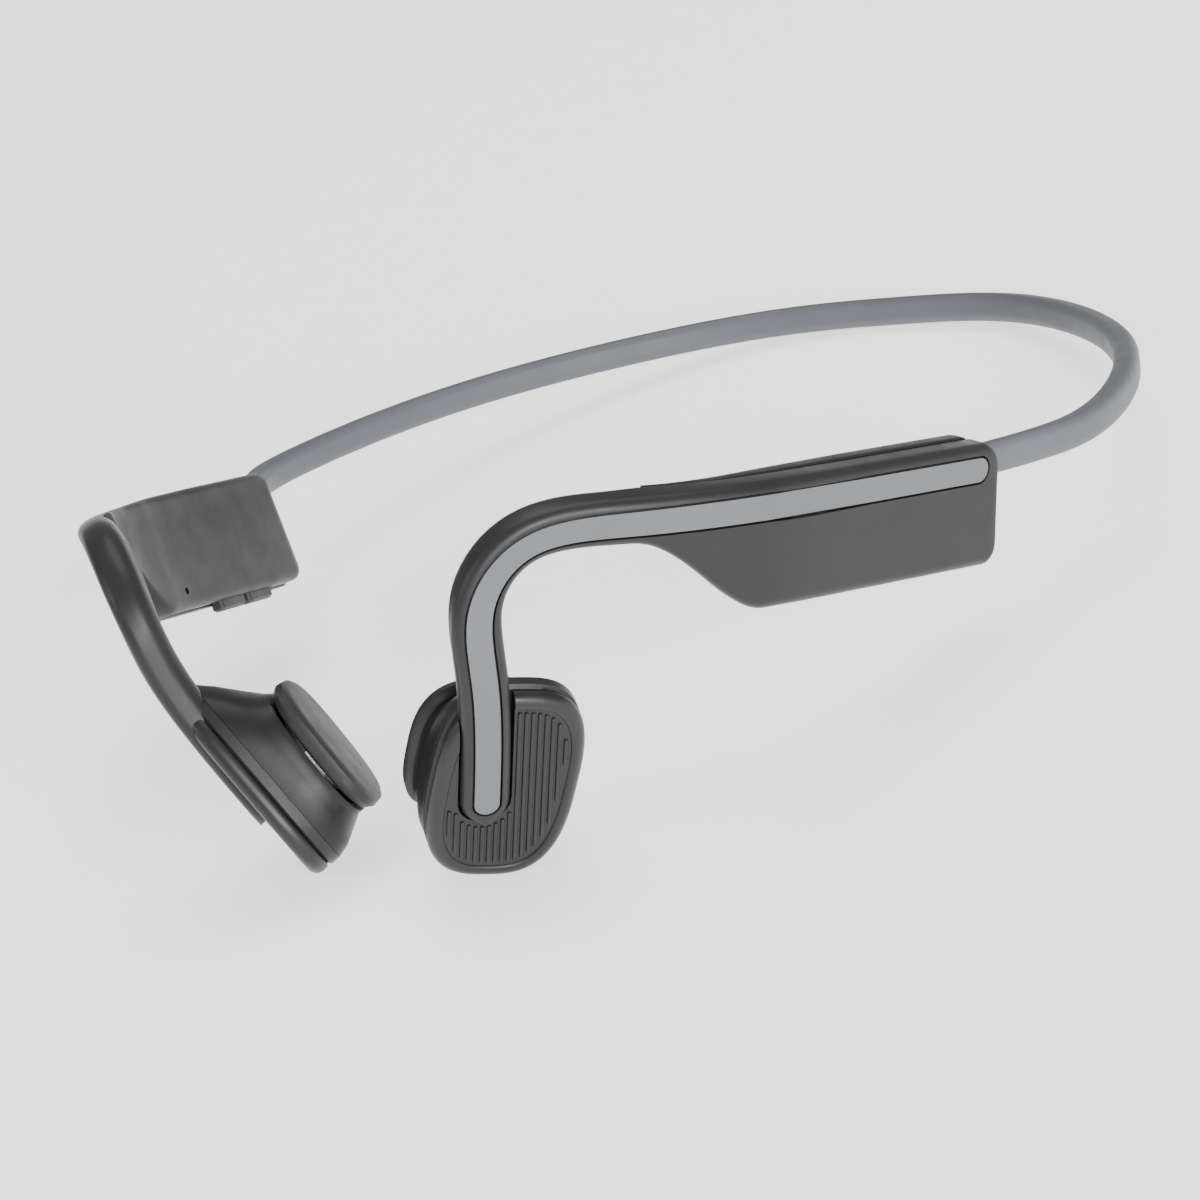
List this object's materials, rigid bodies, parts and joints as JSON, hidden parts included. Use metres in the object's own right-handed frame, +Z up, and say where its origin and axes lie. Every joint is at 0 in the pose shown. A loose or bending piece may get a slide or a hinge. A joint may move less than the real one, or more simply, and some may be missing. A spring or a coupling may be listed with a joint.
{
  "type": "bone_conduction_headphones",
  "caption": "Open-ear bone conduction headphones with a flat silicone neckband, slim ear hooks with satin strips and ribbed transducers",
  "frame": {"origin": "bottom centre of the bounding box, with the set lying on a table on the back of its neckband and the lower edges of both transducers", "axes": "+Z up from the table, +Y towards the back of the neckband, +X towards the wearer's left side; the two sides mirror each other in the plane x = 0 apart from keys and port"},
  "size_m": [0.1376, 0.1568, 0.0492],
  "materials": {
    "ceramic": "gloss",
    "titanium": "satin",
    "wire_jacket": "matte",
    "band_silicone": "matte",
    "circuit_board": "satin",
    "battery_foil": "satin",
    "foam": "matte",
    "key_rubber": "matte",
    "steel": "satin",
    "dark_nickel": "satin",
    "soft_touch_shell": "soft-touch matte",
    "satin_strip": "satin",
    "soft_touch_cover": "soft-touch matte",
    "pad_silicone": "matte",
    "copper": "satin",
    "ribbed_rubber": "matte",
    "clear_plastic": "clear"
  },
  "bodies": {
    "left_side": {"band_core_wire": "titanium", "band_signal_lead": "wire_jacket", "band_sleeve": "band_silicone", "battery_board": "circuit_board", "battery_cell": "battery_foil", "battery_foam": "foam", "left_arm_shell": "soft_touch_shell", "left_arm_wires": "wire_jacket", "left_band_anchor": "steel", "left_driver_magnet": "dark_nickel", "left_driver_spring": "titanium", "left_driver_yoke": "steel", "left_inlay_strip": "satin_strip", "left_pod_cover": "soft_touch_cover", "left_skin_pad": "pad_silicone", "left_transducer_housing": "soft_touch_cover", "left_vibration_plate": "steel", "left_voice_coil": "copper", "multifunction_switch": "dark_nickel"},
    "right_side": {"antenna": "ceramic", "charging_socket": "steel", "charging_socket_tongue": "dark_nickel", "main_board": "circuit_board", "microphone_capsule": "steel", "radio_module": "steel", "right_arm_shell": "soft_touch_shell", "right_arm_wires": "wire_jacket", "right_band_anchor": "steel", "right_driver_magnet": "dark_nickel", "right_driver_spring": "titanium", "right_driver_yoke": "steel", "right_inlay_strip": "satin_strip", "right_pod_cover": "soft_touch_cover", "right_ribbed_cap": "ribbed_rubber", "right_skin_pad": "pad_silicone", "right_transducer_housing": "soft_touch_cover", "right_vibration_plate": "steel", "right_voice_coil": "copper", "status_led": "clear_plastic", "status_light_guide": "clear_plastic", "volume_down_switch": "dark_nickel", "volume_up_switch": "dark_nickel"},
    "multifunction_button": {"multifunction_button": "ribbed_rubber"},
    "volume_up_key": {"volume_up_key": "key_rubber"},
    "volume_down_key": {"volume_down_key": "key_rubber"},
    "charging_port_flap": {"charging_port_flap": "key_rubber"}
  },
  "joints": [
    {"name": "band_flex", "type": "hinge", "parent": "left_side", "child": "right_side", "pos_m": [0, 0.07637, 0.00222], "axis": [0, -0.4031, -0.9151], "range_deg": [-2, 45], "stiffness_Nm_per_rad": 0.24, "deforming": ["band_sleeve", "band_core_wire", "band_signal_lead"]},
    {"name": "function_press", "type": "slide", "parent": "left_side", "child": "multifunction_button", "axis": [-0.6042, 0.7431, 0.2877], "range_m": [0, 0.0004], "stiffness_N_per_m": 2500, "springref_m": -0.0004},
    {"name": "volume_up_press", "type": "slide", "parent": "right_side", "child": "volume_up_key", "axis": [-0.2371, 0.347, 0.9074], "range_m": [0, 0.0004], "stiffness_N_per_m": 2500, "springref_m": -0.0004},
    {"name": "volume_down_press", "type": "slide", "parent": "right_side", "child": "volume_down_key", "axis": [-0.2371, 0.347, 0.9074], "range_m": [0, 0.0004], "stiffness_N_per_m": 2500, "springref_m": -0.0004},
    {"name": "flap_open", "type": "hinge", "parent": "right_side", "child": "charging_port_flap", "pos_m": [-0.05678, -0.00986, 0.00946], "axis": [-0.9508, -0.2745, -0.1434], "range_deg": [0, 110]}
  ]
}
